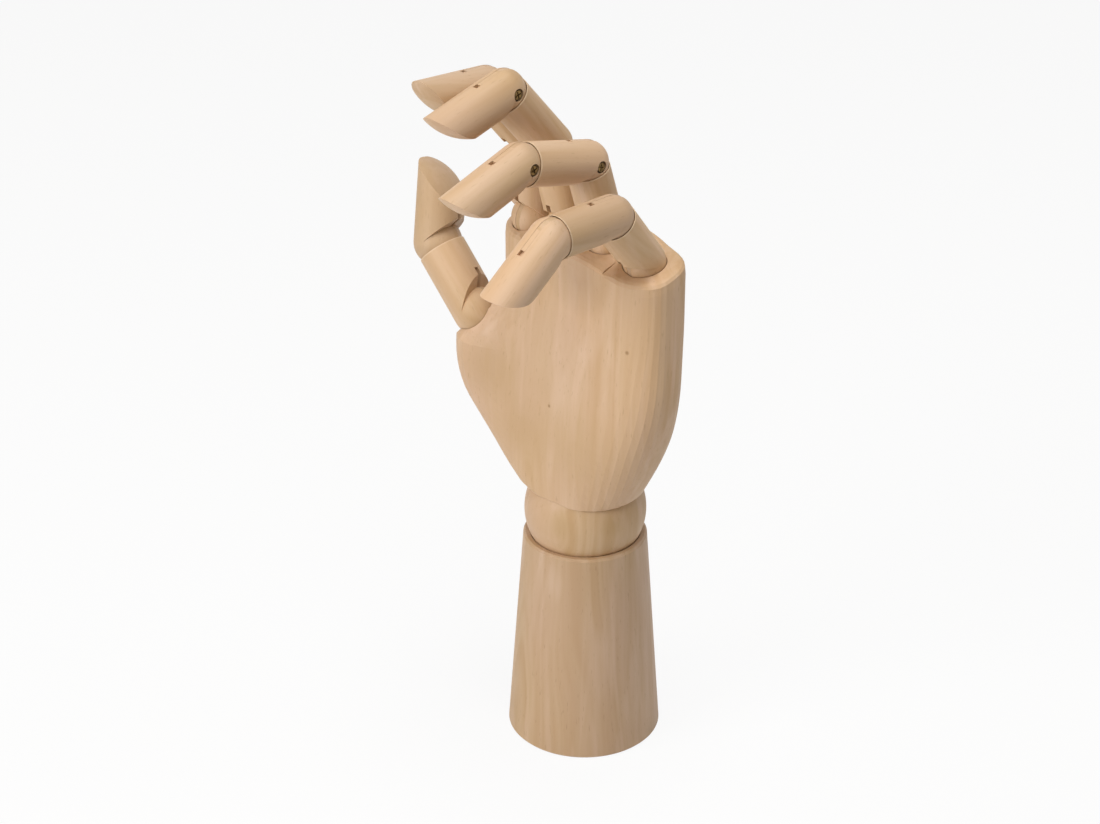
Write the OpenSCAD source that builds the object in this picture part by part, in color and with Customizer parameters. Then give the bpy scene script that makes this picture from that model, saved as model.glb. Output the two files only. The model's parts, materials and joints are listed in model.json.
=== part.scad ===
// Articulated wooden hand on a turned forearm.
// A left hand: the palm faces -Y, the thumb is on the -X side and +Z points to the fingertips.
// The origin is the centre of the flat underside of the forearm. Sizes are in millimetres.
// The pose angles place every segment as it stands at rest; a larger angle curls the finger more.

/* [Forearm] */
// Height of the forearm, from its flat foot to its rim
forearm_h = 92.5; // [80:0.5:120]
// Diameter of the forearm at the foot
forearm_foot_d = 64; // [58:0.5:80]
// Diameter of the forearm at the rim
forearm_top_d = 51; // [51:0.5:56]
// Width of the small bevels on the forearm's edges
forearm_bevel = 0.9; // [0.3:0.1:1.5]

/* [Wrist] */
// Diameter of the loose ball in the wrist
ball_d = 50; // [46:0.5:50]
// Height of the ball's centre above the forearm's rim
ball_rise = 10.8; // [9:0.1:13]
// Height of the palm's lower rim above the ball's centre
palm_rise = 10.7; // [9:0.1:13]
// Play between the ball and the two cups that hold it
ball_play = 0.3; // [0.2:0.05:0.5]
// Diameter of the bores that hold the wrist spring
wrist_bore_d = 10; // [9:0.5:13]

/* [Palm] */
// Height of the palm, from its lower rim to the middle knuckles
palm_h = 113; // [106:1:122]
// Diameter of the palm at its lower rim
palm_rim_d = 48.8; // [48.6:0.1:51]
// Wood outside the little finger's socket
ulnar_wall = 7.5; // [5:0.5:10]
// Wood outside the index finger's socket
radial_wall = 3; // [2:0.5:6]
// Wood in front of the knuckle sockets
front_wall = 6.5; // [5:0.5:8]
// Wood behind the knuckle sockets
back_wall = 7.5; // [6:0.5:10]
// Depth of the hollow in the middle of the palm
palm_hollow = 3.2; // [0:0.2:4]
// How far the ball of the thumb swells in front of the palm
thenar_swell = 9.5; // [9:0.5:12]
// Slope of the knuckle end, lower towards the palm side
knuckle_slope = 16; // [10:1:24]
// How much lower the outer knuckles stand than the middle of the hand
knuckle_drop = 4; // [0:0.5:6]

/* [Fingers] */
// Diameter of the four fingers
finger_d = 17; // [15:0.5:17.5]
// Distance from one knuckle to the next
knuckle_pitch = 20.3; // [19.5:0.1:22]
// Pin to pin length of a base segment
base_len = 36; // [34:0.5:42]
// Pin to pin length of a middle segment
mid_len = 36; // [34:0.5:42]
// Length of a tip segment from its pin
tip_len = 36; // [33:0.5:42]
// Length of the index finger's tip segment from its pin
index_tip_len = 33.5; // [32:0.5:42]
// Pin to pin length of the index finger's base segment
index_base_len = 33; // [31:0.5:40]
// Pin to pin length of the little finger's base segment
little_base_len = 32; // [30:0.5:38]
// Pin to pin length of the little finger's middle segment
little_mid_len = 32; // [30:0.5:38]
// Length of the little finger's tip segment from its pin
little_tip_len = 33; // [30:0.5:38]
// Length of the curved cut on the pad of each fingertip
pad_len = 21; // [18:0.5:23]

/* [Thumb] */
// Diameter of the thumb
thumb_d = 20; // [18:0.5:20.5]
// Distance of the thumb's knuckle from the hand's middle line
thumb_x = 51.5; // [50:0.5:53]
// Distance of the thumb's knuckle in front of the hand's middle plane
thumb_y = 11; // [10:0.5:12]
// Height of the thumb's knuckle above the palm's lower rim
thumb_z = 64; // [62:0.5:68]
// Outward lean of the thumb's socket
thumb_lean = 46; // [42:1:50]
// Turn of the thumb about its own axis
thumb_turn = 17; // [0:1:25]
// Pin to pin length of the thumb's base segment
thumb_base_len = 33; // [31:0.5:38]
// Length of the thumb's tip segment from its pin
thumb_tip_len = 33.5; // [33:0.5:40]

/* [Finger joints] */
// Width of the saw cut that the tongue lies in
kerf_w = 2.2; // [2.1:0.05:2.6]
// Play on each side of the tongue in its saw cut
kerf_play = 0.1; // [0.05:0.05:0.2]
// Play between a rounded segment end and the seat it turns in
seat_play = 0.3; // [0.2:0.05:0.4]
// Depth of the saw cut past the pin, in segment radii
kerf_reach = 1.5; // [1.2:0.05:1.6]
// Drop of a seat's rim below the pin, in segment radii
rim_drop = 0.36; // [0.3:0.02:0.45]
// Start of the bending relief above the pin, in segment radii
relief_start = 0.16; // [0.14:0.01:0.22]
// Depth of a tongue's foot in the wood below the seat
tongue_foot = 5; // [3:0.5:7]
// Width of a tongue's foot
tongue_w = 5; // [4:0.5:7]

/* [Screws] */
// Diameter of the screw shank that each joint turns on
screw_d = 2; // [1.6:0.1:2.4]
// Diameter of the screw head
screw_head_d = 4.8; // [4:0.1:5.2]
// Height of the screw head
screw_head_h = 1.2; // [0.9:0.1:1.6]
// Depth of the head below the wood
screw_sink = 0.7; // [0.4:0.1:1]
// Radial play of the screw in the tongue
screw_play = 0.06; // [0.03:0.01:0.1]

/* [Springs and pins] */
// Wire diameter of the knuckle springs
spring_wire = 0.7; // [0.5:0.05:0.8]
// Middle diameter of the knuckle springs' coils and end loops
spring_d = 3.8; // [3.7:0.1:4.2]
// Diameter of the knuckle spring bores in the palm
spring_bore_d = 8.8; // [8.6:0.1:9.4]
// Depth of a knuckle spring's pin below the knuckle
spring_depth = 34; // [32:0.5:36]
// Diameter of the pins that hold the knuckle springs
spring_pin_d = 2; // [1.5:0.1:2.2]
// Wire diameter of the wrist spring
wrist_wire = 1.1; // [0.9:0.1:1.3]
// Middle diameter of the wrist spring's coils and end loops
wrist_spring_d = 5.6; // [5:0.1:6]
// Diameter of the pins that hold the wrist spring
wrist_pin_d = 3; // [2.5:0.1:3.2]
// Depth of each wrist pin from the nearer rim
wrist_pin_depth = 34; // [30:1:38]

/* [Pose] */
// Lean of the middle finger towards the little finger, at its knuckle
middle_spread = -2; // [-2:0.5:1]
// Lean of the little finger away from the others, at its knuckle
little_spread = 4; // [0:0.5:4]
// Index finger bend at the knuckle
index_bend_1 = 2; // [0:1:66]
// Index finger bend at the middle joint
index_bend_2 = 39; // [0:1:66]
// Index finger bend at the end joint
index_bend_3 = 45; // [0:1:66]
// Middle finger bend at the knuckle
middle_bend_1 = 14; // [0:1:66]
// Middle finger bend at the middle joint
middle_bend_2 = 27; // [0:1:66]
// Middle finger bend at the end joint
middle_bend_3 = 64; // [0:1:66]
// Ring finger bend at the knuckle
ring_bend_1 = 18; // [0:1:66]
// Ring finger bend at the middle joint
ring_bend_2 = 58; // [0:1:66]
// Ring finger bend at the end joint
ring_bend_3 = 32; // [0:1:66]
// Little finger bend at the knuckle
little_bend_1 = 39; // [0:1:66]
// Little finger bend at the middle joint
little_bend_2 = 50; // [0:1:66]
// Little finger bend at the end joint
little_bend_3 = 40; // [0:1:66]
// Thumb bend at its knuckle
thumb_bend_1 = 1; // [0:1:25]
// Thumb bend at its end joint
thumb_bend_2 = 41; // [0:1:66]

/* [Hidden] */

$fn = 64;
INDEX = 0;
MIDDLE = 1;
RING = 2;
LITTLE = 3;
THUMB = 4;
eps = 0.01;
big = 200;

// Lengths and rest bends of each digit, from its knuckle outwards
lengths = [
    [index_base_len, mid_len, index_tip_len],
    [base_len, mid_len, tip_len],
    [base_len, mid_len, tip_len],
    [little_base_len, little_mid_len, little_tip_len],
    [thumb_base_len, thumb_tip_len]
];
bends = [
    [index_bend_1, index_bend_2, index_bend_3],
    [middle_bend_1, middle_bend_2, middle_bend_3],
    [ring_bend_1, ring_bend_2, ring_bend_3],
    [little_bend_1, little_bend_2, little_bend_3],
    [thumb_bend_1, thumb_bend_2]
];
// Lean of each digit's knuckle frame about Y
spreads = [0, middle_spread, 0, little_spread, -thumb_lean];
// The side that a digit's screws go in from: 1 is +X of its own frame
screw_sides = [1, 1, 1, -1, 1];

// Heights of the ball and the palm above the foot
ball_z = forearm_h + ball_rise;
palm_z = ball_z + palm_rise;
cup_r = ball_d / 2 + ball_play;

// The knuckles lie on a shallow arch across the hand
outer_knuckle = 1.5 * knuckle_pitch;
function knuckle_arch(x) =
    let (reach = min(abs(x), outer_knuckle))
    palm_z + palm_h - knuckle_drop * pow(reach / outer_knuckle, 2);
function knuckle_x(digit) = (digit - 1.5) * knuckle_pitch;
function digit_origin(digit) = digit == THUMB
    ? [-thumb_x, -thumb_y, palm_z + thumb_z]
    : [knuckle_x(digit), 0, knuckle_arch(knuckle_x(digit))];
function digit_r(digit) = (digit == THUMB ? thumb_d : finger_d) / 2;

// The furthest that a finger joint bends, and the room that the palm leaves for it
bend_max = 66;
relief_angle = 45;
knuckle_room = 1;

// Tongue and spring sizes that follow from the ones above
tongue_t = kerf_w - 2 * kerf_play;
tongue_shrink = 0.15;
foot_play = 0.02;
screw_end_wall = 2;
screw_point_gap = 0.5;
head_play = 0.1;
eye_r = spring_wire / 2 + 0.3;
eye_lift = spring_d / 2 - 0.2;
eye_floor = 0.8;
blade_w = 4.4;
blade_len = 16;
pin_play = 0.02;
pin_hold = 2.5;
wrist_pin_hold = 8;
spring_pin_len = spring_bore_d + 2 * pin_hold;
wrist_pin_len = wrist_bore_d + 2 * wrist_pin_hold;
ball_waist_r = wrist_bore_d / 2 - 1;
ball_mouth_r = wrist_bore_d / 2 + 3;

// Height of the pad's cut at the fingertip, in segment radii
pad_rise = 1.93;

// How far the palm's knuckle end lies below the pins
knuckle_sink = 1.5;

// Room for the thumb to bend, and the cut that forms the shoulder above its socket
thumb_swing = 26;
shoulder_drop = 3;

// Outline of the palm: half widths at the rim, at the thumb and at the knuckles
palm_rim_r = palm_rim_d / 2;
palm_rim_depth = palm_rim_r - 2;
ulnar_reach = outer_knuckle + finger_d / 2 + ulnar_wall;
radial_reach = outer_knuckle + finger_d / 2 + radial_wall;
thumb_reach = thumb_x + thumb_d / 2 + 2.3;
thumb_t = thumb_z / palm_h;

// How the palm swells and hollows: middle and width across the hand, in millimetres
thenar_w = 15;
heel_swell = 1.5;
heel_w = 14;
back_thenar_shift = 4;
hollow_x = 8;
hollow_w = 15;

// Rows and columns of the palm's skin; a row is [height, inset, drop]
palm_cols = 28;
palm_steps = 26;
palm_round = 2.4;
rim_round = 0.9;
palm_rows = concat(
    [for (a = [0, 45]) [0, rim_round * (1 - sin(a)), -rim_round * (1 - cos(a))]],
    [for (j = [0 : palm_steps - 1]) [0.02 + 0.94 * j / (palm_steps - 1), 0, 0]],
    [for (a = [30, 60, 90]) [1, palm_round * (1 - cos(a)), palm_round * (1 - sin(a))]]
);

// Coil pitch, points in a turn and sides of the wire of the two kinds of spring
knuckle_coil = [2, 8, 5];
wrist_coil = [5, 10, 6];

// Puts its children at a joint of a digit, in the frame of the segment beyond that joint
module at_knuckle(digit) {
    translate(digit_origin(digit))
        rotate([0, spreads[digit], 0])
            rotate([0, 0, digit == THUMB ? 90 + thumb_turn : 0])
                children();
}

module along_digit(digit, step, last) {
    rotate([bends[digit][step], 0, 0])
        if (step == last) {
            children();
        } else {
            translate([0, 0, lengths[digit][step]])
                along_digit(digit, step + 1, last) children();
        }
}

module at_segment(digit, step) {
    at_knuckle(digit)
        along_digit(digit, 0, step)
            children();
}

// Puts its children at the far pin of a segment, without the next joint's bend
module at_far_pin(digit, step) {
    at_segment(digit, step)
        translate([0, 0, lengths[digit][step]])
            children();
}

// A disc lying across X, centred on a pin
module across(r, len) {
    rotate([0, 90, 0])
        cylinder(r = r, h = len, center = true);
}

// Wooden tongue: a disc that fills the saw cut of the segment turning on it
module tongue_disc(r) {
    across(r - tongue_shrink, tongue_t);
}

// Tongue that is glued by its foot in the far end of a segment
module fixed_tongue(r) {
    foot_h = r + seat_play + tongue_foot;
    difference() {
        union() {
            tongue_disc(r);
            translate([-tongue_t / 2, -tongue_w / 2, -foot_h])
                cube([tongue_t, tongue_w, foot_h]);
        }
        across(screw_d / 2 + screw_play, big);
    }
}

// Slot in the wood for the foot of a fixed tongue
module foot_slot(r) {
    slot_h = r + seat_play + tongue_foot + foot_play;
    slot_t = tongue_t + 2 * foot_play;
    slot_w = tongue_w + 2 * foot_play;
    translate([-slot_t / 2, -slot_w / 2, -slot_h])
        cube([slot_t, slot_w, slot_h]);
}

// Tongue that stands in a knuckle socket and is pulled down by a spring
module sprung_tongue(r) {
    blade_h = r + blade_len - digit_r(INDEX);
    difference() {
        union() {
            tongue_disc(r);
            translate([-tongue_t / 2, -blade_w / 2, -blade_h])
                cube([tongue_t, blade_w, blade_h]);
        }
        across(screw_d / 2 + screw_play, big);
        translate([0, 0, -blade_h + eye_floor + eye_lift])
            across(eye_r, big);
    }
}

// Rounded end, saw cut and bending relief of a segment, with its screw holes
module segment_blank(r, len) {
    difference() {
        union() {
            sphere(r = r);
            cylinder(r = r, h = len);
        }
        // relief on the palm side, down to the ball of the joint
        difference() {
            translate([0, 0, relief_start * r])
                rotate([-relief_angle, 0, 0])
                    translate([-big / 2, -big, -big])
                        cube([big, big, big]);
            sphere(r = r);
            translate([-big / 2, 0, -big / 2])
                cube([big, big, big]);
        }
    }
}

module saw_cut(r) {
    translate([-kerf_w / 2, -r - 1, -r - 1])
        cube([kerf_w, 2 * r + 2, r + 1 + kerf_reach * r]);
}

module screw_holes(r, side) {
    head_seat = r - screw_sink - screw_head_h;
    scale_side(side) {
        translate([-screw_reach(r), 0, 0])
            rotate([0, 90, 0])
                cylinder(r = screw_d / 2 + foot_play, h = 2 * r);
        translate([head_seat, 0, 0])
            rotate([0, 90, 0])
                cylinder(r = screw_head_d / 2 + head_play, h = r);
    }
}

// Mirrors its children to the other side of a digit when side is -1
module scale_side(side) {
    if (side < 0) {
        mirror([1, 0, 0]) children();
    } else {
        children();
    }
}

function screw_reach(r) = r - screw_end_wall;

// Concave seat at the far pin of a segment
module seat(r) {
    sphere(r = r + seat_play);
    translate([0, 0, -rim_drop * r])
        cylinder(r = r + 1, h = 2 * r);
    foot_slot(r);
}

// Segment with a rounded end at its pin and a seat at the far pin
module linked_segment(digit, step) {
    r = digit_r(digit);
    len = lengths[digit][step];
    difference() {
        segment_blank(r, len);
        saw_cut(r);
        screw_holes(r, screw_sides[digit]);
        translate([0, 0, len]) seat(r);
    }
}

// Last segment: straight at the back, rounded from the pad up to the tip
module tip_segment(digit, step) {
    r = digit_r(digit);
    len = lengths[digit][step];
    pad = pad_len * r / digit_r(INDEX);
    pad_start = len - pad;
    crest = pad_rise * r;
    sweep_r = (pad * pad + crest * crest) / (2 * crest);
    difference() {
        segment_blank(r, len);
        saw_cut(r);
        screw_holes(r, screw_sides[digit]);
        translate([0, 0, pad_start])
            difference() {
                translate([-big / 2, -big / 2, 0])
                    cube([big, big, big]);
                translate([0, sweep_r - r, 0])
                    sphere(r = sweep_r);
            }
    }
}

module segment(digit, step) {
    color("burlywood")
        at_segment(digit, step)
            if (step == len(lengths[digit]) - 1) {
                tip_segment(digit, step);
            } else {
                linked_segment(digit, step);
            }
}

module segment_tongue(digit, step) {
    color("wheat")
        at_far_pin(digit, step)
            fixed_tongue(digit_r(digit));
}

module knuckle_tongue(digit) {
    color("wheat")
        at_knuckle(digit)
            sprung_tongue(digit_r(digit));
}

// Wood screw with a cross recess, lying along X with its head on the +X side
module wood_screw(r) {
    head_top = r - screw_sink;
    head_seat = head_top - screw_head_h;
    tip_x = -screw_reach(r) + screw_point_gap;
    recess_w = 0.5;
    recess_l = 0.6 * screw_head_d;
    recess_h = 0.6;
    difference() {
        union() {
            translate([head_seat, 0, 0])
                rotate([0, 90, 0])
                    cylinder(r1 = screw_head_d / 2, r2 = 0.8 * screw_head_d / 2, h = screw_head_h);
            translate([tip_x, 0, 0])
                rotate([0, 90, 0])
                    cylinder(r = screw_d / 2, h = head_seat - tip_x + eps);
        }
        for (turn = [0, 90])
            rotate([turn, 0, 0])
                translate([head_top - recess_h, -recess_l / 2, -recess_w / 2])
                    cube([recess_h + 1, recess_l, recess_w]);
    }
}

module segment_screw(digit, step) {
    color("darkgoldenrod")
        at_segment(digit, step)
            scale_side(screw_sides[digit])
                wood_screw(digit_r(digit));
}

// Turned forearm with a cup for the ball and a bore for the spring
module forearm() {
    foot_r = forearm_foot_d / 2;
    top_r = forearm_top_d / 2;
    lip = forearm_bevel;
    pin_z = forearm_h - wrist_pin_depth;
    color("burlywood")
        difference() {
            rotate_extrude($fn = 96)
                polygon([
                    [0, 0],
                    [foot_r - lip, 0],
                    [foot_r, lip],
                    [top_r, forearm_h - lip],
                    [top_r - lip, forearm_h],
                    [0, forearm_h]
                ]);
            translate([0, 0, ball_z])
                sphere(r = cup_r, $fn = 96);
            translate([0, 0, pin_z - wrist_bore_d])
                cylinder(d = wrist_bore_d, h = forearm_h);
            translate([0, 0, pin_z])
                cross_pin(wrist_pin_d / 2 + pin_play, wrist_pin_len + 2 * pin_play);
        }
}

// Pin lying along Y
module cross_pin(r, len) {
    rotate([90, 0, 0])
        cylinder(r = r, h = len, center = true);
}

module forearm_pin() {
    color("silver")
        translate([0, 0, forearm_h - wrist_pin_depth])
            cross_pin(wrist_pin_d / 2, wrist_pin_len);
}

module palm_wrist_pin() {
    color("silver")
        translate([0, 0, palm_z + wrist_pin_depth])
            cross_pin(wrist_pin_d / 2, wrist_pin_len);
}

// Ball with a waisted hole, so that the spring can bend inside it
module wrist_ball() {
    r = ball_d / 2;
    color("tan")
        translate([0, 0, ball_z])
            rotate_extrude($fn = 96)
                difference() {
                    intersection() {
                        circle(r = r, $fn = 96);
                        translate([0, -r])
                            square([r + 1, 2 * r]);
                    }
                    polygon([
                        [0, -r],
                        [ball_mouth_r, -r],
                        [ball_waist_r, 0],
                        [ball_mouth_r, r],
                        [0, r]
                    ]);
                }
}

// Smooth step from 0 to 1 between two values
function ease(from, to, v) =
    let (s = max(0, min(1, (v - from) / (to - from))))
    s * s * (3 - 2 * s);
function blend(a, b, s) = a + (b - a) * s;
function swell(v, middle, width) = exp(-pow((v - middle) / width, 2));

// Reach of the palm to each side at a height t, from 0 at the rim to 1 at the knuckles
function right_reach(t) =
    blend(palm_rim_r, ulnar_reach, pow(sin(90 * min(1, t / 0.6)), 0.9));
function left_reach(t) =
    let (low = blend(palm_rim_r, thumb_reach, pow(sin(90 * min(1, t / thumb_t)), 0.58)))
    blend(low, radial_reach, ease(thumb_t - 0.02, thumb_t + 0.22, t));

function above_thumb(t) = ease(thumb_t - 0.03, thumb_t + 0.16, t);

// Depth of the palm in front of and behind its middle plane
function front_depth(x, t) =
    blend(palm_rim_depth, finger_d / 2 + front_wall, ease(0, 0.9, t))
    + thenar_swell * swell(x, -thumb_x, thenar_w) * ease(0.06, 0.5, t) * (1 - above_thumb(t))
    + heel_swell * swell(x, 0.7 * ulnar_reach, heel_w) * swell(t, 0.4, 0.25)
    - palm_hollow * swell(x, hollow_x, hollow_w) * swell(t, 0.78, 0.2);
function back_depth(x, t) =
    blend(palm_rim_depth, finger_d / 2 + back_wall, ease(0, 0.6, t))
    - 0.5 * thenar_swell * swell(x, -thumb_x - back_thenar_shift, thenar_w) * ease(0.06, 0.5, t);
function squareness(u, t) =
    blend(2.1, 3, ease(0, 0.35, t)) - (u < 0 ? 0.6 * above_thumb(t) : 0);

// One ring of the palm: the front from left to right, then the back from right to left
function ring_point(t, inset, drop, k, back) =
    let (
        left = left_reach(t) - inset,
        right = right_reach(t) - inset,
        u = -cos(180 * k / palm_cols),
        x = (right - left) / 2 + u * (right + left) / 2,
        n = squareness(u, t),
        rim = pow(max(0, 1 - pow(abs(u), n)), 1 / n),
        y = back ? (back_depth(x, t) - inset) * rim : -(front_depth(x, t) - inset) * rim,
        top = knuckle_arch(x) - knuckle_sink + y * tan(knuckle_slope)
    )
    [x, y, palm_z + t * (top - palm_z) - drop];
function ring(t, inset, drop) = concat(
    [for (k = [0 : palm_cols]) ring_point(t, inset, drop, k, false)],
    [for (k = [palm_cols - 1 : -1 : 1]) ring_point(t, inset, drop, k, true)]
);

module palm_blank() {
    per = 2 * palm_cols;
    last = len(palm_rows) - 1;
    points = [for (row = palm_rows) each ring(row[0], row[1], row[2])];
    sides = [
        for (j = [0 : last - 1], i = [0 : per - 1])
            let (n = (i + 1) % per, a = j * per + i, b = j * per + n, c = a + per, d = b + per)
            each [[a, c, b], [b, c, d]]
    ];
    // both end caps are ladders between the front and the back of the ring
    caps = [
        for (row = [0, last], k = [0 : palm_cols - 1])
            let (
                f0 = row * per + k,
                f1 = f0 + 1,
                b0 = row * per + (per - k) % per,
                b1 = row * per + per - k - 1,
                one = [f0, f1, b1],
                two = [f0, b1, b0],
                faces = k == 0 ? [one] : k == palm_cols - 1 ? [[f0, f1, b0]] : [one, two]
            )
            each [for (f = faces) row == 0 ? f : [f[2], f[1], f[0]]]
    ];
    polyhedron(points = points, faces = concat(sides, caps), convexity = 6);
}

// Room for a digit: its ball below the knuckle, its shaft above
module knuckle_socket(digit) {
    r = digit_r(digit) + seat_play;
    at_knuckle(digit) {
        sphere(r = r);
        cylinder(r = r, h = 3 * r);
        translate([0, 0, -spring_depth - spring_bore_d / 2])
            cylinder(d = spring_bore_d, h = spring_depth);
        translate([0, 0, -spring_depth])
            cross_pin(spring_pin_d / 2 + pin_play, spring_pin_len + 2 * pin_play);
        if (digit != THUMB)
            bend_room(r);
    }
}

// Space above the front of a knuckle for the finger's relief face when it is fully bent
module bend_room(r) {
    rotate([bend_max, 0, 0])
        translate([-r, 0, relief_start * r - knuckle_room])
            rotate([-relief_angle, 0, 0])
                translate([0, -big, 0])
                    cube([2 * r, big, big]);
}

// Room for the thumb to bend towards the hand, and the shoulder that its socket lies in
module thumb_notch() {
    r = thumb_d / 2 + seat_play;
    at_knuckle(THUMB)
        rotate([thumb_swing, 0, 0])
            cylinder(r = r, h = 4 * r);
    intersection() {
        translate([-radial_reach - big, -big / 2, 0])
            cube([big, big, 2 * big]);
        at_knuckle(THUMB)
            translate([-big / 2, -big / 2, -shoulder_drop])
                cube([big, big, big]);
    }
}

module palm() {
    color("burlywood")
        difference() {
            palm_blank();
            translate([0, 0, ball_z])
                sphere(r = cup_r, $fn = 96);
            cylinder(d = wrist_bore_d, h = palm_z + wrist_pin_depth + wrist_bore_d);
            translate([0, 0, palm_z + wrist_pin_depth])
                cross_pin(wrist_pin_d / 2 + pin_play, wrist_pin_len + 2 * pin_play);
            for (digit = [INDEX : THUMB])
                knuckle_socket(digit);
            thumb_notch();
        }
}

// Pins that hold the lower ends of the knuckle springs
module palm_spring_pins() {
    color("silver")
        for (digit = [INDEX : THUMB])
            at_knuckle(digit)
                translate([0, 0, -spring_depth])
                    cross_pin(spring_pin_d / 2, spring_pin_len);
}

// A wire swept along a path, with its rings square to the path
function path_way(path, i) =
    let (
        last = len(path) - 1,
        d = path[min(i + 1, last)] - path[max(i - 1, 0)]
    )
    d / norm(d);
module wire(path, r, sides) {
    last = len(path) - 1;
    points = [
        for (i = [0 : last])
            let (
                w = path_way(path, i),
                side = cross(w, [0, 1, 0.001]),
                e1 = side / norm(side),
                e2 = cross(w, e1)
            )
            for (s = [0 : sides - 1])
                path[i] + r * (cos(360 * s / sides) * e1 + sin(360 * s / sides) * e2)
    ];
    faces = concat(
        [[for (s = [0 : sides - 1]) s]],
        [
            for (i = [0 : last - 1], s = [0 : sides - 1])
                let (n = (s + 1) % sides, a = i * sides + s, b = i * sides + n)
                each [[a, a + sides, b], [b, a + sides, b + sides]]
        ],
        [[for (s = [sides - 1 : -1 : 0]) last * sides + s]]
    );
    polyhedron(points = points, faces = faces, convexity = 10);
}

// Extension spring along Z: an upright loop at each end with the coils between them
module spring(low, high, d, wire_d, coil) {
    r = d / 2;
    steps = coil[1];
    coil_low = low + r + wire_d;
    coil_high = high - r - wire_d;
    turns = floor((coil_high - coil_low) / coil[0]);
    count = turns * steps;
    loop = [for (a = [-240 : 30 : 60]) a];
    low_loop = [for (a = loop) [r * cos(a), 0, low + r * sin(a)]];
    coils = [
        for (i = [0 : count])
            [
                r * cos(90 + 360 * i / steps),
                r * sin(90 + 360 * i / steps),
                blend(coil_low, coil_high, i / count)
            ]
    ];
    high_loop = [for (a = loop) [-r * cos(a + 180), 0, high + r * sin(a + 180)]];
    wire(concat(low_loop, coils, high_loop), wire_d / 2, coil[2]);
}

module knuckle_spring(digit) {
    blade_h = digit_r(digit) + blade_len - digit_r(INDEX);
    color("silver")
        at_knuckle(digit)
            spring(-spring_depth, -blade_h + eye_floor, spring_d, spring_wire, knuckle_coil);
}

module wrist_spring() {
    color("silver")
        spring(
            forearm_h - wrist_pin_depth, palm_z + wrist_pin_depth,
            wrist_spring_d, wrist_wire, wrist_coil
        );
}

forearm();
forearm_pin();
wrist_spring();
wrist_ball();
palm();
palm_wrist_pin();
palm_spring_pins();
knuckle_spring(INDEX);  // index_spring
knuckle_spring(MIDDLE);  // middle_spring
knuckle_spring(RING);  // ring_spring
knuckle_spring(LITTLE);  // little_spring
knuckle_spring(THUMB);  // thumb_spring
knuckle_tongue(INDEX);  // index_knuckle_tongue
knuckle_tongue(MIDDLE);  // middle_knuckle_tongue
knuckle_tongue(RING);  // ring_knuckle_tongue
knuckle_tongue(LITTLE);  // little_knuckle_tongue
knuckle_tongue(THUMB);  // thumb_knuckle_tongue
segment(INDEX, 0);  // index_base
segment(INDEX, 1);  // index_mid
segment(INDEX, 2);  // index_tip
segment(MIDDLE, 0);  // middle_base
segment(MIDDLE, 1);  // middle_mid
segment(MIDDLE, 2);  // middle_tip
segment(RING, 0);  // ring_base
segment(RING, 1);  // ring_mid
segment(RING, 2);  // ring_tip
segment(LITTLE, 0);  // little_base
segment(LITTLE, 1);  // little_mid
segment(LITTLE, 2);  // little_tip
segment(THUMB, 0);  // thumb_base
segment(THUMB, 1);  // thumb_tip
segment_tongue(INDEX, 0);  // index_mid_tongue
segment_tongue(INDEX, 1);  // index_tip_tongue
segment_tongue(MIDDLE, 0);  // middle_mid_tongue
segment_tongue(MIDDLE, 1);  // middle_tip_tongue
segment_tongue(RING, 0);  // ring_mid_tongue
segment_tongue(RING, 1);  // ring_tip_tongue
segment_tongue(LITTLE, 0);  // little_mid_tongue
segment_tongue(LITTLE, 1);  // little_tip_tongue
segment_tongue(THUMB, 0);  // thumb_tip_tongue
segment_screw(INDEX, 0);  // index_base_screw
segment_screw(INDEX, 1);  // index_mid_screw
segment_screw(INDEX, 2);  // index_tip_screw
segment_screw(MIDDLE, 0);  // middle_base_screw
segment_screw(MIDDLE, 1);  // middle_mid_screw
segment_screw(MIDDLE, 2);  // middle_tip_screw
segment_screw(RING, 0);  // ring_base_screw
segment_screw(RING, 1);  // ring_mid_screw
segment_screw(RING, 2);  // ring_tip_screw
segment_screw(LITTLE, 0);  // little_base_screw
segment_screw(LITTLE, 1);  // little_mid_screw
segment_screw(LITTLE, 2);  // little_tip_screw
segment_screw(THUMB, 0);  // thumb_base_screw
segment_screw(THUMB, 1);  // thumb_tip_screw
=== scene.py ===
"""Looks of the wooden hand: sanded pale wood, brass screws, steel springs, and a plain studio.

Lengths are in metres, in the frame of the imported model: +Z is up, the palm faces -Y and the
thumb is at -X. Colours are in linear light, and texture scales are in features per metre.
"""

import json
import math

import bpy
from mathutils import Matrix, Vector


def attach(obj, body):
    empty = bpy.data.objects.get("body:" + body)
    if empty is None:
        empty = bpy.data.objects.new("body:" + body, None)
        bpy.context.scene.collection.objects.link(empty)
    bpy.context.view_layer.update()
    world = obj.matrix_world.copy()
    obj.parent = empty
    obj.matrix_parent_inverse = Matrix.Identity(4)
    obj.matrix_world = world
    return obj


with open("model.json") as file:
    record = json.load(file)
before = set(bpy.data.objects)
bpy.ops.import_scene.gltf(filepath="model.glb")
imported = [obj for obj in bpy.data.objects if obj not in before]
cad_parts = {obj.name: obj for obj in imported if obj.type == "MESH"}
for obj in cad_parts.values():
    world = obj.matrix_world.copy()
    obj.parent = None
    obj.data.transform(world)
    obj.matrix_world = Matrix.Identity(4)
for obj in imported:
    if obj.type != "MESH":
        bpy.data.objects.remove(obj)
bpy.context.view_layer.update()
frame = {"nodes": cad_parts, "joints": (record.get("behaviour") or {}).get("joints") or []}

# Camera: fitted to the photograph, which is 1100 x 824 pixels
VIEW_TURN = math.radians(45.5)
VIEW_RISE = math.radians(27.67)
VIEW_TARGET = Vector((-0.0102, -0.0103, 0.1468))
VIEW_DISTANCE = 1.005
SENSOR_WIDTH = 36.0
FOCAL_LENGTH = 81.82
CLIP_START = 0.05
CLIP_END = 50

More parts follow.
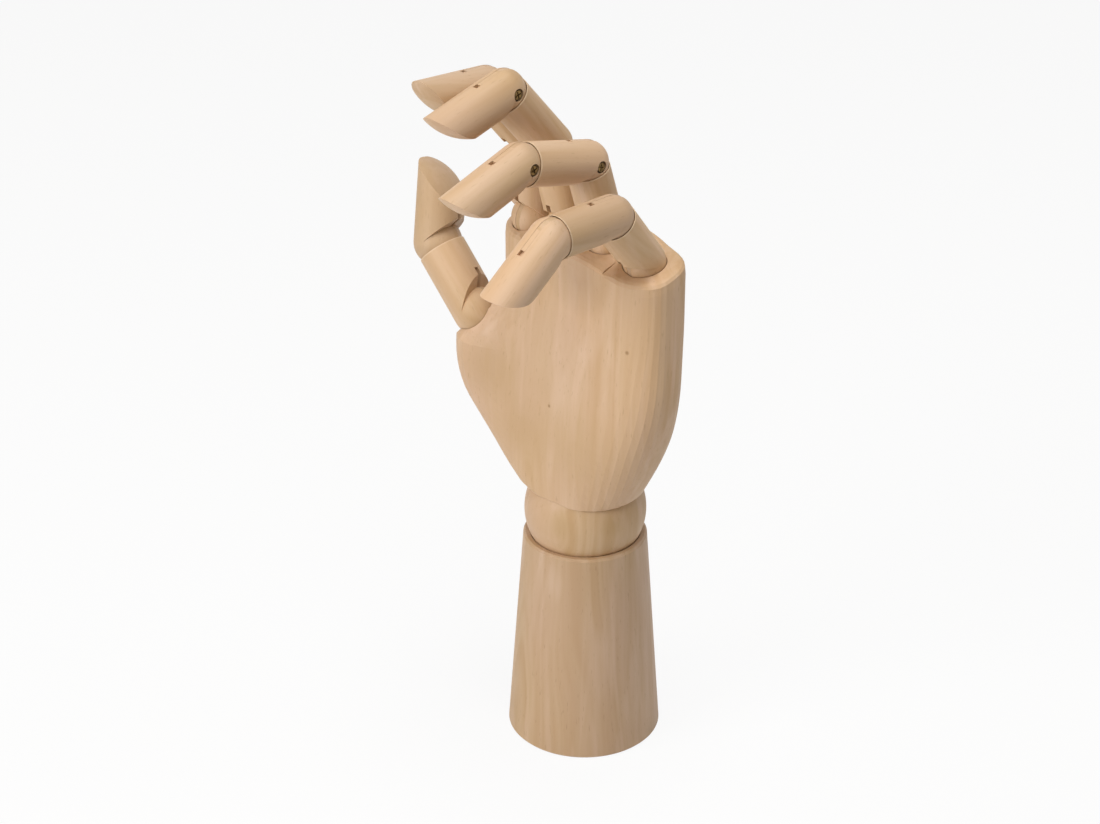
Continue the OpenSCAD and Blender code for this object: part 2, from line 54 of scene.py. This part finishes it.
# Bend of each end joint at rest, in degrees, as in the CAD; the pins give the other bends
END_BENDS = {"index": 45, "middle": 64, "ring": 32, "little": 40, "thumb": 41}

# Wood tones: the pale ground, the tones that tint it, a painted shade for the hollow of the palm,
# and the rims of the seats, pale from wear and a painted highlight
PALE = (0.640, 0.455, 0.285)
WARM = (0.545, 0.352, 0.188)
FLECK = (0.330, 0.190, 0.090)
PINK = (0.650, 0.452, 0.322)
FLAME = (0.740, 0.545, 0.400)
YELLOW = (0.500, 0.335, 0.170)
# Painted shade for the hollow of the palm, where the fingers shadow it
PAINTED_HOLLOW_SHADE = (0.290, 0.185, 0.115)
# The pale rims of the seats: wear, and a painted highlight where the lip catches the light
EDGE_WEAR_AND_HIGHLIGHT = (0.820, 0.650, 0.460)
SATURATION = 1.06

# Noise in the wood: scale across, across and along the grain, detail, roughness, distortion
WOOD_NOISE = {
    "drift": ((26, 26, 6), 1.5, 0.55, 0.0),
    "streaks": ((620, 620, 16), 4.0, 0.60, 0.0),
    "flecks": ((1500, 1500, 210), 1.0, 0.50, 0.0),
    "clouds": ((22, 22, 9), 2.0, 0.55, 0.0),
    "flames": ((105, 105, 11), 2.0, 0.50, 0.9),
}
# Growth rings: how slowly they change along the grain, how far the drift bends them, in metres,
# and their number, in radians for each metre from the pith
RING_SPACE = (1, 1, 0.035)
RING_BEND = (0.034, 0.034, 0.0)
RING_RATE = 980.0
# Broad bands that follow the rings: scale across and along, then detail, roughness, distortion
BAND_ACROSS = 260.0
BAND_ALONG = 5.0
BAND_NOISE = (3.0, 0.5, 0.4)
# Tints over the pale ground, in order: label, pattern, the values where it starts and is full,
# strength and tone
WOOD_TINTS = [
    ("broad tone", "bands", 0.34, 0.66, 0.85, WARM),
    ("pink clouds", "clouds", 0.40, 0.68, 0.70, PINK),
    ("pale flames", "flames", 0.50, 0.70, 0.55, FLAME),
    ("late wood", "rings", 0.00, 1.00, 0.11, WARM),
    ("warm streaks", "streaks", 0.50, 0.82, 0.26, WARM),
    ("dark flecks", "flecks", 0.66, 0.78, 0.30, FLECK),
]
# A spot is full up to this share of its radius
SPOT_CORE = 0.25
# How far wear and a painted highlight reach in from the rim of a seat, and how much they lighten it
WEAR_AND_HIGHLIGHT_REACH = 0.0006
WEAR_AND_HIGHLIGHT_STRENGTH = 0.75
# Roughness of the sanded wood, as (streak value, roughness), and its gloss
WOOD_ROUGHNESS = ((0.25, 0.46), (0.80, 0.62))
WOOD_SPECULAR = 0.42
# Relief of the open grain: share of the flecks, strength and depth
FLECK_RELIEF = 0.5
WOOD_BUMP = (0.08, 0.0004)

# Spots on the wood, as (point on the surface, radius, strength, tone): two pin knots,
# three places of yellow heartwood, and painted shade in the hollow of the palm
PALM_SPOTS = [
    ((0.0347, -0.0132, 0.1901), 0.0011, 0.85, FLECK),
    ((-0.0016, -0.0193, 0.1560), 0.0009, 0.85, FLECK),
    ((-0.0322, -0.0197, 0.1620), 0.018, 0.40, YELLOW),
    ((0.0165, -0.0200, 0.1390), 0.026, 0.40, YELLOW),
    ((-0.0166, -0.0209, 0.1402), 0.018, 0.35, YELLOW),
    # Painted shade in the hollow of the palm, under the fingers
    ((0.0083, -0.0134, 0.2155), 0.020, 0.40, PAINTED_HOLLOW_SHADE),
]
BALL_SPOTS = [
    ((0.0086, -0.0231, 0.1073), 0.007, 0.35, YELLOW),
    ((0.0233, -0.0084, 0.1065), 0.006, 0.45, YELLOW),
]
# Brightness of the segments that are cut from lighter or darker timber than the rest
SEGMENT_SHADES = {
    "index_tip": 0.89,
    "middle_tip": 0.95,
    "ring_tip": 0.95,
    "thumb_tip": 0.87,
    "index_mid": 0.97,
    "ring_mid": 1.08,
    "little_mid": 0.91,
    "ring_base": 1.03,
    "little_base": 1.08,
}
# Where the segments are cut from the timber: middle, swing and step of a wave across it and in
# depth, and the step along it
CUT_ACROSS = (0.03, 0.05, 2.4)
CUT_DEPTH = (0.09, 0.02, 1.7)
CUT_ALONG = 0.7

# The saw cuts that hold the tongues: width, reach as a share of the radius, the gap left round
# their filling, and the steps of its arc
KERF_WIDTH = 0.0022
KERF_REACH = 1.5
KERF_GAP = 0.0001
KERF_STEPS = 14
# The small opening at the end of a saw cut, along the segment and into it
MOUTH_LENGTH = 0.0022
MOUTH_DEPTH = 0.0013

# Metals as bright tone, tarnished tone, roughness, and scale of the scratches
SPRING_STEEL = ((0.42, 0.42, 0.43), (0.24, 0.24, 0.25), 0.30, 1400)
PIN_STEEL = ((0.50, 0.50, 0.51), (0.34, 0.33, 0.33), 0.34, 1800)
OLD_BRASS = ((0.260, 0.165, 0.062), (0.060, 0.032, 0.012), 0.36, 2600)
TARNISH_SCALE = 900.0
TARNISH_DETAIL = 4.0
TARNISH_STOPS = ((0.35, 0.0), (0.70, 1.0))
SCRATCH_LENGTHWISE = 300
SCRATCH_DETAIL = 3.0
# The noise values between which the scratches go from gloss to matt, and their step each way
SCRATCH_LOW, SCRATCH_HIGH = 0.2, 0.8
SCRATCH_ROUGHNESS = 0.12
METAL_BUMP = (0.15, 0.00005)
# Painted shade of the gap round a screw's head, on its rim: the tone, then stops as
# (share of the radius, strength)
GAP_SHADE_TONE = (0.020, 0.010, 0.004)
GAP_SHADE_STOPS = ((0.62, 0.0), (0.84, 0.95))
# The share of a screw's length that counts as one of its ends
SCREW_END = 0.25

# Lamps as (name, direction in camera right, up and back, size, power)
LAMPS = [
    ("left", (-1.0, 0.1, 0.8), 0.9, 13.5),
    ("front", (0.0, 0.7, 1.0), 0.9, 7.5),
    ("above", (0.0, 1.2, 0.7), 0.5, 9.5),
    ("right", (1.0, 0.8, 0.4), 0.9, 2.5),
]
LAMP_DISTANCE = 1.5
LAMP_COLOR = (1.0, 0.985, 0.965)
WHITE = (1.0, 1.0, 1.0)
WORLD_FILL = 0.07
# The floor: half its side, its paper, and how much of it shows plain white to the camera
FLOOR_REACH = 6.0
FLOOR_PAPER = (0.86, 0.86, 0.86)
FLOOR_GLOW = 0.90

# The colour sockets of a Mix node, which share their names with its other sockets
MIX_FIRST, MIX_SECOND, MIX_RESULT = 6, 7, 2
# Vector operations that give a number
MEASURES = ("DISTANCE", "DOT_PRODUCT", "LENGTH")


def add(tree, kind, label, **settings):
    """Adds a shader node and sets its properties; sockets are set by the caller."""
    made = tree.nodes.new(kind)
    made.label = label
    for key, value in settings.items():
        setattr(made, key, value)
    return made


def feed(tree, socket, value):
    """Links a socket to another node's output, or sets it to a constant."""
    if isinstance(value, bpy.types.NodeSocket):
        tree.links.new(value, socket)
    elif socket.type == "RGBA":
        socket.default_value = (*value, 1)
    else:
        socket.default_value = value


def math_node(tree, operation, label, *values):
    made = add(tree, "ShaderNodeMath", label, operation=operation)
    for socket, value in zip(made.inputs, values):
        feed(tree, socket, value)
    return made.outputs[0]


def vector_node(tree, operation, label, *values):
    made = add(tree, "ShaderNodeVectorMath", label, operation=operation)
    for socket, value in zip(made.inputs, values):
        feed(tree, socket, value)
    return made.outputs["Value" if operation in MEASURES else "Vector"]


def ramp_node(tree, label, source, stops):
    """Maps a value to grey, evenly between two stops given as (position, grey)."""
    made = add(tree, "ShaderNodeValToRGB", label)
    for element, (position, grey) in zip(made.color_ramp.elements, stops):
        element.position = position
        element.color = (grey, grey, grey, 1)
    feed(tree, made.inputs["Fac"], source)
    return made.outputs["Color"]


def mix_color(tree, label, share, first, second):
    made = add(tree, "ShaderNodeMix", label, data_type="RGBA")
    feed(tree, made.inputs["Factor"], share)
    feed(tree, made.inputs[MIX_FIRST], first)
    feed(tree, made.inputs[MIX_SECOND], second)
    return made.outputs[MIX_RESULT]


def noise_node(tree, label, coordinates, scale, detail, roughness=0.55, distortion=0.0):
    """Noise of one scale, or of three scales where it is stretched."""
    if isinstance(scale, tuple):
        coordinates = vector_node(tree, "MULTIPLY", f"scale of {label}", coordinates, scale)
        scale = 1.0
    made = add(tree, "ShaderNodeTexNoise", label)
    made.inputs["Scale"].default_value = scale
    made.inputs["Detail"].default_value = detail
    made.inputs["Roughness"].default_value = roughness
    made.inputs["Distortion"].default_value = distortion
    feed(tree, made.inputs["Vector"], coordinates)
    return made.outputs["Fac"]


def bump_node(tree, label, height, strength, distance):
    made = add(tree, "ShaderNodeBump", label)
    made.inputs["Strength"].default_value = strength
    made.inputs["Distance"].default_value = distance
    feed(tree, made.inputs["Height"], height)
    return made.outputs["Normal"]


def new_material(name):
    """A new material, its node tree, its shader and the output of object coordinates."""
    material = bpy.data.materials.new(name)
    material.use_nodes = True
    tree = material.node_tree
    place = add(tree, "ShaderNodeTexCoord", "object space").outputs["Object"]
    return material, tree, tree.nodes["Principled BSDF"], place


def grain_patterns(tree, grain):
    """The patterns of the wood by name: stretched noise, and rings and bands about the pith."""
    patterns = {}
    for name, settings in WOOD_NOISE.items():
        patterns[name] = noise_node(tree, name, grain, *settings)

    # The pith lies well behind the piece, and the slow drift bends the rings about it
    straight = vector_node(tree, "MULTIPLY", "across the grain", grain, RING_SPACE)
    bent = vector_node(tree, "MULTIPLY_ADD", "bent", patterns["drift"], RING_BEND, straight)
    radius = vector_node(tree, "LENGTH", "distance from the pith", bent)
    turns = math_node(tree, "MULTIPLY", "ring pitch", radius, RING_RATE)
    wave = math_node(tree, "SINE", "ring wave", turns)
    patterns["rings"] = math_node(tree, "MULTIPLY_ADD", "rings from 0 to 1", wave, 0.5, 0.5)

    along = add(tree, "ShaderNodeSeparateXYZ", "along the trunk")
    feed(tree, along.inputs[0], grain)
    figure = add(tree, "ShaderNodeCombineXYZ", "figure")
    across = math_node(tree, "MULTIPLY", "across the rings", radius, BAND_ACROSS)
    feed(tree, figure.inputs["X"], across)
    slowly = math_node(tree, "MULTIPLY", "slowly along", along.outputs["Z"], BAND_ALONG)
    feed(tree, figure.inputs["Y"], slowly)
    patterns["bands"] = noise_node(tree, "bands", figure.outputs[0], 1.0, *BAND_NOISE)
    return patterns


def add_spots(tree, color, place, spots):
    """Paints round spots, given as (point, radius, strength, tone)."""
    for index, (point, radius, strength, tone) in enumerate(spots):
        away = vector_node(tree, "DISTANCE", f"to spot {index}", place, point)
        reach = math_node(tree, "DIVIDE", f"reach of spot {index}", away, radius)
        share = ramp_node(tree, f"spot {index}", reach, ((SPOT_CORE, strength), (1.0, 0.0)))
        color = mix_color(tree, f"with spot {index}", share, color, tone)
    return color


def add_rim_wear_and_highlight(tree, color, place, pin, way, reach):
    """Lightens the edge of a segment's seat at that reach from the pin along way: wear and a painted
    highlight.
    """
    from_pin = vector_node(tree, "SUBTRACT", "from the pin", place, pin)
    along = vector_node(tree, "DOT_PRODUCT", "along the piece", from_pin, way)
    share = math_node(tree, "DIVIDE", "share of the reach", along, reach)
    stops = ((1.0 - WEAR_AND_HIGHLIGHT_REACH / reach, 0.0), (1.0, WEAR_AND_HIGHLIGHT_STRENGTH))
    edge_lightening = ramp_node(tree, "edge lightened by wear and painted highlight", share, stops)
    return mix_color(tree, "pale edge from wear and painted highlight", edge_lightening, color, EDGE_WEAR_AND_HIGHLIGHT)


def wood_material(
    name, lean_x=0.0, lean_y=0.0, offset=(0, 0, 0), warmth=0.0, shade=1.0, spots=(), rim=None
):
    """Sanded pale wood, with the grain along the piece, which leans by lean_x and lean_y degrees.

    offset picks the part of the timber, warmth adds colour and shade scales the brightness.
    spots are as in add_spots; rim is the (pin, way, reach) of the seat's wear and painted highlight.
    """
    material, tree, shader, place = new_material(name)
    turn = add(tree, "ShaderNodeMapping", "grain along Z")
    turn.inputs["Rotation"].default_value = (math.radians(-lean_x), math.radians(-lean_y), 0)
    turn.inputs["Location"].default_value = offset
    feed(tree, turn.inputs["Vector"], place)
    patterns = grain_patterns(tree, turn.outputs["Vector"])

    color = PALE
    for label, pattern, start, full, strength, tone in WOOD_TINTS:
        stops = ((start, 0.0), (full, strength))
        share = ramp_node(tree, f"where {label}", patterns[pattern], stops)
        color = mix_color(tree, label, share, color, tone)
    color = add_spots(tree, color, place, spots)
    if rim:
        color = add_rim_wear_and_highlight(tree, color, place, *rim)
    toned = add(tree, "ShaderNodeHueSaturation", "piece tone")
    toned.inputs["Value"].default_value = shade
    toned.inputs["Saturation"].default_value = SATURATION + warmth
    feed(tree, toned.inputs["Color"], color)
    feed(tree, shader.inputs["Base Color"], toned.outputs["Color"])

    sanded = ramp_node(tree, "sanding", patterns["streaks"], WOOD_ROUGHNESS)
    feed(tree, shader.inputs["Roughness"], sanded)
    shader.inputs["Specular IOR Level"].default_value = WOOD_SPECULAR
    relief = math_node(tree, "MULTIPLY", "fleck relief", patterns["flecks"], FLECK_RELIEF)
    pores = math_node(tree, "ADD", "pores", patterns["streaks"], relief)
    feed(tree, shader.inputs["Normal"], bump_node(tree, "open grain", pores, *WOOD_BUMP))
    return material


def add_painted_gap_shade(tree, color, place, point, axis, radius):
    """Darkens a screw's head near that radius from the axis through the point: painted shade of the
    gap round it.
    """
    from_point = vector_node(tree, "SUBTRACT", "from the axis point", place, point)
    cross = vector_node(tree, "CROSS_PRODUCT", "square to the axis", from_point, axis)
    away = vector_node(tree, "LENGTH", "distance from the axis", cross)
    share = math_node(tree, "DIVIDE", "share of the radius", away, radius)
    gap_shade = ramp_node(tree, "painted shade of the gap", share, GAP_SHADE_STOPS)
    return mix_color(tree, "with painted gap shade", gap_shade, color, GAP_SHADE_TONE)


def metal_material(name, bright, tarnished, roughness, scratch_scale, rim=None):
    """Worn metal: tarnish in clouds, and fine scratches in the gloss.

    rim is the (point, axis, radius) of the painted shade round a screw's head.
    """
    material, tree, shader, place = new_material(name)
    tarnish = noise_node(tree, "tarnish", place, TARNISH_SCALE, TARNISH_DETAIL)
    patches = ramp_node(tree, "patches", tarnish, TARNISH_STOPS)
    color = mix_color(tree, "tarnished", patches, bright, tarnished)
    # Painted shade of the gap round the rim of a screw's head
    if rim:
        color = add_painted_gap_shade(tree, color, place, *rim)
    feed(tree, shader.inputs["Base Color"], color)
    scratch_scales = (scratch_scale, SCRATCH_LENGTHWISE, SCRATCH_LENGTHWISE)
    scratches = noise_node(tree, "scratches", place, scratch_scales, SCRATCH_DETAIL)
    stops = (
        (SCRATCH_LOW, roughness - SCRATCH_ROUGHNESS),
        (SCRATCH_HIGH, roughness + SCRATCH_ROUGHNESS),
    )
    feed(tree, shader.inputs["Roughness"], ramp_node(tree, "gloss", scratches, stops))
    shader.inputs["Metallic"].default_value = 1.0
    normal = bump_node(tree, "fine scratches", scratches, *METAL_BUMP)
    feed(tree, shader.inputs["Normal"], normal)
    return material


def segment_frames():
    """Yields each segment's node, pin, curl axis and direction at rest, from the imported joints."""
    joints = {joint["name"]: joint for joint in frame["joints"]}
    for digit, end_bend in END_BENDS.items():
        names = [f"{digit}_{part}" for part in ("knuckle", "middle_joint", "end_joint")]
        chain = [joints[name] for name in names if name in joints]
        pins = [Vector(joint["pos_m"]) for joint in chain]
        ways = [(far - near).normalized() for near, far in zip(pins, pins[1:])]
        curl = Vector(chain[-1]["axis"])
        # The curl axis is turned so that a bend about it goes on from the first segment's way
        onward = ways[1] if len(ways) > 1 else Vector((0, 0, 1))
        if curl.dot(ways[0].cross(onward)) < 0:
            curl = -curl
        ways.append(Matrix.Rotation(math.radians(end_bend), 3, curl) @ ways[-1])
        for joint, pin, way in zip(chain, pins, ways):
            yield joint["child"], pin, curl, way


def dress(name, material):
    """Gives a CAD node its material, in every slot that it has."""
    node = frame["nodes"][name]
    if not node.material_slots:
        node.data.materials.append(material)
    for slot in node.material_slots:
        slot.material = material


def timber_place(index):
    """Where in the timber a segment is cut, so that no two show the same figure."""
    across, swing_across, step_across = CUT_ACROSS
    depth, swing_depth, step_depth = CUT_DEPTH
    return (
        swing_across * math.sin(index * step_across) + across,
        depth + swing_depth * math.cos(index * step_depth),
        CUT_ALONG * index,
    )


def dress_segment(index, name, pin, way):
    lean_x = math.degrees(math.atan2(-way.y, way.z))
    lean_y = math.degrees(math.asin(way.x))
    reach = max((vertex.co - pin).dot(way) for vertex in frame["nodes"][name].data.vertices)
    rim = None if name.endswith("_tip") else (pin, way, reach)
    shade = SEGMENT_SHADES.get(name, 1.0)
    place = timber_place(index)
    dress(name, wood_material("wood_" + name, lean_x, lean_y, place, shade=shade, rim=rim))


def dress_wood():
    # The forearm's shade darkens it as a whole: painted shade for the light falling off lower down
    forearm = wood_material("wood_forearm", offset=(0.031, 0.118, 0.0), shade=0.88)
    dress("forearm", forearm)
    ball = wood_material(
        "wood_ball", lean_y=4, offset=(0.052, 0.083, 0.02), shade=0.98, spots=BALL_SPOTS
    )
    dress("wrist_ball", ball)
    palm = wood_material("wood_palm", offset=(0.012, 0.094, 0.3), warmth=0.02, spots=PALM_SPOTS)
    dress("palm", palm)
    tongue = wood_material("wood_tongue", offset=(0.02, 0.05, 0.6), shade=0.90)
    for index, (name, pin, _, way) in enumerate(segment_frames()):
        dress_segment(index, name, pin, way)
    for name in frame["nodes"]:
        if name.endswith("_tongue"):
            dress(name, tongue)


def screw_axis(name):
    """A point on a screw's axis, the axis and the head's radius, from the screw's own mesh."""
    points = [vertex.co for vertex in frame["nodes"][name].data.vertices]
    middle = sum(points, Vector()) / len(points)
    one_end = max(points, key=lambda point: (point - middle).length)
    other_end = max(points, key=lambda point: (point - one_end).length)
    rough_axis = (one_end - other_end).normalized()
    # The middles of the points near the two ends give the true axis
    heights = [(point - middle).dot(rough_axis) for point in points]
    reach = SCREW_END * (max(heights) - min(heights))
    ends = []
    for edge in (min(heights), max(heights)):
        close = [point for point, height in zip(points, heights) if abs(height - edge) < reach]
        ends.append(sum(close, Vector()) / len(close))
    axis = (ends[1] - ends[0]).normalized()
    radius = max(((point - ends[0]).cross(axis)).length for point in points)
    return ends[0], axis, radius


def dress_metal():
    wire = metal_material("spring_wire", *SPRING_STEEL)
    rod = metal_material("pin_rod", *PIN_STEEL)
    for name in frame["nodes"]:
        if name.endswith("_screw"):
            dress(name, metal_material("brass_" + name, *OLD_BRASS, screw_axis(name)))
        elif name.endswith("_spring"):
            dress(name, wire)
        elif name.endswith("_pin") or name.endswith("_pins"):
            dress(name, rod)


def kerf_wood(name, pin, curl, way):
    """The segment's own wood behind the tongue: only the mouth of the saw cut stays open."""
    node = frame["nodes"][name]
    back = way.cross(curl)
    radius = max((vertex.co - pin).dot(curl) for vertex in node.data.vertices)
    clear = radius - 0.5 * KERF_GAP
    top = radius - KERF_GAP
    reach = KERF_REACH * radius - KERF_GAP
    # The outline goes round the tongue's arc, in steps back from the segment and along it
    last = math.asin(top / clear)
    angles = [last * step / KERF_STEPS for step in range(KERF_STEPS + 1)]
    outline = [(clear * math.sin(angle), clear * math.cos(angle)) for angle in angles]
    outline += [(top, reach - MOUTH_LENGTH), (top - MOUTH_DEPTH, reach - MOUTH_LENGTH)]
    outline += [(top - MOUTH_DEPTH, reach), (0.0, reach)]
    half = 0.5 * KERF_WIDTH - KERF_GAP
    points = [
        pin + side * half * curl + y * back + z * way for side in (-1, 1) for y, z in outline
    ]
    count = len(outline)
    faces = [tuple(range(count - 1, -1, -1)), tuple(range(count, 2 * count))]
    for k in range(count):
        following = (k + 1) % count
        faces.append((k, following, count + following, count + k))
    mesh = bpy.data.meshes.new(name + "_kerf_wood")
    mesh.from_pydata(points, [], faces)
    mesh.materials.append(node.material_slots[0].material)
    filling = bpy.data.objects.new(name + "_kerf_wood", mesh)
    bpy.context.scene.collection.objects.link(filling)
    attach(filling, name)


def fill_saw_cuts():
    for name, pin, curl, way in segment_frames():
        kerf_wood(name, pin, curl, way)


def seen_white(tree):
    """Is 1 for what the camera sees, also in reflections and through glass, and 0 for light."""
    path = add(tree, "ShaderNodeLightPath", "who looks")
    camera, glossy = path.outputs["Is Camera Ray"], path.outputs["Is Glossy Ray"]
    seen = math_node(tree, "MAXIMUM", "seen", camera, glossy)
    return math_node(tree, "MAXIMUM", "or through", seen, path.outputs["Is Transmission Ray"])


def lit_or_white(tree, output_kind, share, lit, white):
    """Sends one shader to the output for light, and the other in its place for what is seen."""
    mix = add(tree, "ShaderNodeMixShader", "lit or white")
    feed(tree, mix.inputs["Fac"], share)
    feed(tree, mix.inputs[1], lit.outputs[0])
    feed(tree, mix.inputs[2], white.outputs[0])
    output = add(tree, output_kind, "output")
    feed(tree, output.inputs["Surface"], mix.outputs[0])


def studio_world():
    world = bpy.data.worlds.new("studio")
    world.use_nodes = True
    tree = world.node_tree
    tree.nodes.clear()
    fill = add(tree, "ShaderNodeBackground", "soft fill")
    feed(tree, fill.inputs["Color"], WHITE)
    fill.inputs["Strength"].default_value = WORLD_FILL
    white = add(tree, "ShaderNodeBackground", "white backdrop")
    feed(tree, white.inputs["Color"], WHITE)
    white.inputs["Strength"].default_value = 1.0
    lit_or_white(tree, "ShaderNodeOutputWorld", seen_white(tree), fill, white)
    bpy.context.scene.world = world


def studio_floor():
    """A pale floor: nearly white to the camera, but it keeps the soft shadow under the hand."""
    mesh = bpy.data.meshes.new("floor")
    turns = ((-1, -1), (1, -1), (1, 1), (-1, 1))
    corners = [(FLOOR_REACH * x, FLOOR_REACH * y, 0) for x, y in turns]
    mesh.from_pydata(corners, [], [(0, 1, 2, 3)])
    floor = bpy.data.objects.new("floor", mesh)
    bpy.context.scene.collection.objects.link(floor)
    material = bpy.data.materials.new("floor_paper")
    material.use_nodes = True
    tree = material.node_tree
    tree.nodes.clear()
    paper = add(tree, "ShaderNodeBsdfDiffuse", "paper")
    feed(tree, paper.inputs["Color"], FLOOR_PAPER)
    glow = add(tree, "ShaderNodeEmission", "white to the camera")
    feed(tree, glow.inputs["Color"], WHITE)
    glow.inputs["Strength"].default_value = 1.0
    share = math_node(tree, "MULTIPLY", "keep some shadow", seen_white(tree), FLOOR_GLOW)
    lit_or_white(tree, "ShaderNodeOutputMaterial", share, paper, glow)
    mesh.materials.append(material)


def camera_axes():
    """Right, up and back of the camera, from its turn and rise."""
    right = Vector((math.cos(VIEW_TURN), math.sin(VIEW_TURN), 0))
    back = Vector((
        math.sin(VIEW_TURN) * math.cos(VIEW_RISE),
        -math.cos(VIEW_TURN) * math.cos(VIEW_RISE),
        math.sin(VIEW_RISE),
    ))
    return right, back.cross(right), back


def studio_camera():
    right, up, back = camera_axes()
    data = bpy.data.cameras.new("camera")
    data.sensor_fit = "HORIZONTAL"
    data.sensor_width = SENSOR_WIDTH
    data.lens = FOCAL_LENGTH
    data.clip_start = CLIP_START
    data.clip_end = CLIP_END
    camera = bpy.data.objects.new("camera", data)
    bpy.context.scene.collection.objects.link(camera)
    turn = Matrix((right, up, back)).transposed().to_4x4()
    camera.matrix_world = Matrix.Translation(VIEW_TARGET + VIEW_DISTANCE * back) @ turn
    bpy.context.scene.camera = camera


def soft_box(name, direction, size, power):
    """A square area lamp aimed at the middle of the hand."""
    lamp = bpy.data.lights.new(name, "AREA")
    lamp.shape = "SQUARE"
    lamp.size = size
    lamp.energy = power
    lamp.color = LAMP_COLOR
    box = bpy.data.objects.new(name, lamp)
    bpy.context.scene.collection.objects.link(box)
    away = direction.normalized()
    box.location = VIEW_TARGET + LAMP_DISTANCE * away
    box.rotation_euler = away.to_track_quat("Z", "Y").to_euler()


def studio_lights():
    right, up, back = camera_axes()
    for name, (across, above, nearer), size, power in LAMPS:
        soft_box(name, across * right + above * up + nearer * back, size, power)


dress_wood()
dress_metal()
fill_saw_cuts()
studio_world()
studio_floor()
studio_camera()
studio_lights()
bpy.context.scene.view_settings.view_transform = "Standard"
